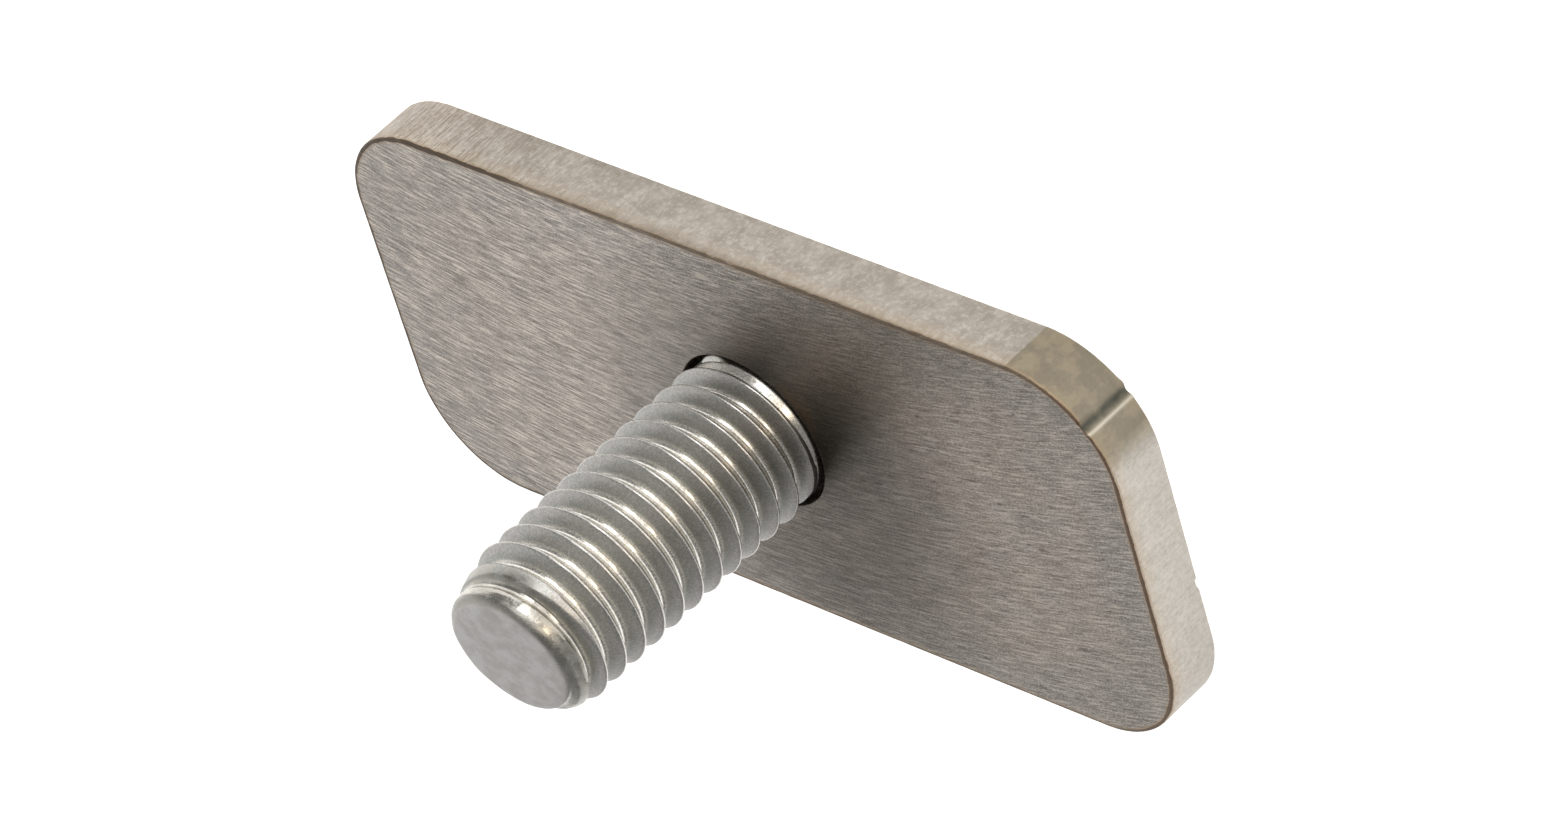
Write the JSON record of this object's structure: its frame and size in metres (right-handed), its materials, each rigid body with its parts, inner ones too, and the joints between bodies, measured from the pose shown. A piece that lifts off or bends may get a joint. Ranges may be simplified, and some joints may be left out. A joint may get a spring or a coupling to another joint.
{
  "type": "t-bolt",
  "caption": "T-bolt with a flat rectangular plate head, round at its corners, and a metric threaded stud standing from the middle of its face.",
  "frame": {"origin": "on the stud's axis, at the plate's back face, which is the middle of the plate's underside", "axes": "+X along the plate's long side, +Y along its short side, +Z out of the plate's front face along the stud, towards its tip"},
  "size_m": [0.045, 0.0202, 0.0189],
  "materials": {
    "plate_steel": "brushed stainless sheet, fine grain along the plate, cut edges with fine striations across the thickness",
    "stud_steel": "rolled stainless thread, bright crests and roots, matt sawn tip"
  },
  "bodies": {
    "root": {"head_plate": "plate_steel", "threaded_stud": "stud_steel"}
  },
  "joints": []
}
